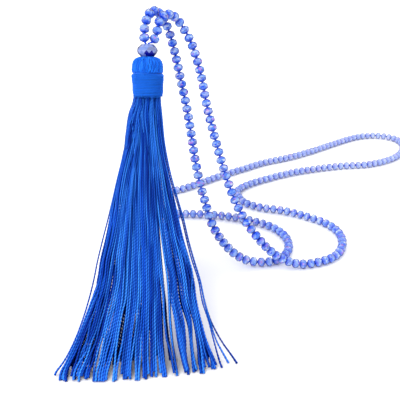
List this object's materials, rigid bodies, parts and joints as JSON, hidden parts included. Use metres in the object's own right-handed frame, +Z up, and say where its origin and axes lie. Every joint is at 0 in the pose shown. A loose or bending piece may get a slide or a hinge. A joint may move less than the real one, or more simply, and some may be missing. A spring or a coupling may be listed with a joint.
{
  "type": "tassel necklace",
  "caption": "Long loop of faceted crystal beads on a thread, draped over a peg and laid out in loops, with a large faceted bead and a domed, bound thread tassel.",
  "frame": {"origin": "on the axis of the peg that the strands hang over, midway along the draped strands", "axes": "+Z up; +X to the right and +Y away as the picture sees it, with the peg's axis along X and the floor that the loops lie on at z = -0.097 m"},
  "size_m": [0.1779, 0.228, 0.1064],
  "materials": {
    "crystal": "cut and polished translucent blue crystal with a pale rainbow coating",
    "drop_crystal": "cut and polished pale blue-grey crystal with a faint rainbow coating",
    "thread": "deep blue beading thread",
    "tassel_thread": "glossy twisted silk-like thread, royal blue",
    "wrap_thread": "fine thread wound closely round the neck, royal blue"
  },
  "bodies": {
    "root": {"bead_string_left": "crystal", "bead_string_right": "crystal", "string_thread": "thread", "drop_bead": "drop_crystal", "tassel": "tassel_thread", "tassel_wrap": "wrap_thread"}
  },
  "joints": []
}
